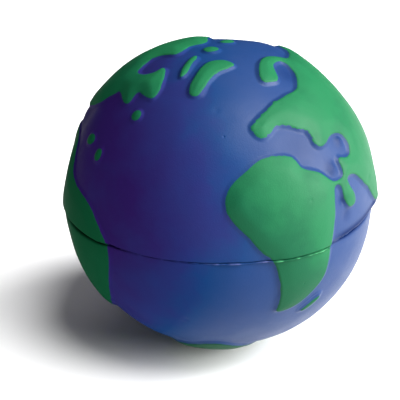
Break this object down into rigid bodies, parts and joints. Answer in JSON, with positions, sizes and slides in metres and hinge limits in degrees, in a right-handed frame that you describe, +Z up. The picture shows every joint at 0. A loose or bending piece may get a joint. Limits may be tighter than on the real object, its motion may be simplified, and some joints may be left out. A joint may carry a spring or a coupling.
{
  "type": "stress ball",
  "caption": "Squeezable foam stress ball made as a globe: blue ocean skin, raised green land, a moulded parting line round the equator and a small flat to stand on.",
  "frame": {"origin": "centre of the flat that the ball rests on, at the south pole", "axes": "+Z up along the pole axis; -Y is the front, where the Atlantic side of the globe faces; +X to the right of the front view"},
  "size_m": [0.0693, 0.0684, 0.0693],
  "materials": {
    "foam_core": "open-cell flexible polyurethane foam, matt",
    "ocean_skin": "self-skinned polyurethane foam with a deep blue satin coat",
    "land_coat": "green satin coat on raised moulded land"
  },
  "bodies": {
    "lower_half": {"foam_core": "foam_core", "ocean_skin_south": "ocean_skin", "parting_line_flash": "ocean_skin", "south_america_land_south": "land_coat", "africa_land_south": "land_coat", "madagascar_land": "land_coat", "sumatra_java_land": "land_coat", "new_guinea_land": "land_coat", "australia_land": "land_coat", "new_zealand_land": "land_coat", "antarctica_land": "land_coat"},
    "upper_half": {"ocean_skin_north": "ocean_skin", "americas_land_north": "land_coat", "greenland_land": "land_coat", "baffin_island_land": "land_coat", "ellesmere_island_land": "land_coat", "svalbard_island_land": "land_coat", "newfoundland_island_land": "land_coat", "cuba_island_land": "land_coat", "hispaniola_island_land": "land_coat", "eurasia_africa_land_north": "land_coat", "borneo_land": "land_coat", "philippines_land": "land_coat", "japan_land": "land_coat"}
  },
  "joints": [
    {"name": "squeeze", "type": "slide", "parent": "lower_half", "child": "upper_half", "axis": [0, 0, -1], "range_m": [0, 0.022], "stiffness_N_per_m": 3000, "deforming": ["foam_core", "ocean_skin_south", "parting_line_flash", "south_america_land_south", "africa_land_south", "madagascar_land", "sumatra_java_land", "new_guinea_land", "australia_land", "new_zealand_land", "antarctica_land", "ocean_skin_north", "americas_land_north", "greenland_land", "baffin_island_land", "ellesmere_island_land", "svalbard_island_land", "newfoundland_island_land", "cuba_island_land", "hispaniola_island_land", "eurasia_africa_land_north", "borneo_land", "philippines_land", "japan_land"]}
  ]
}
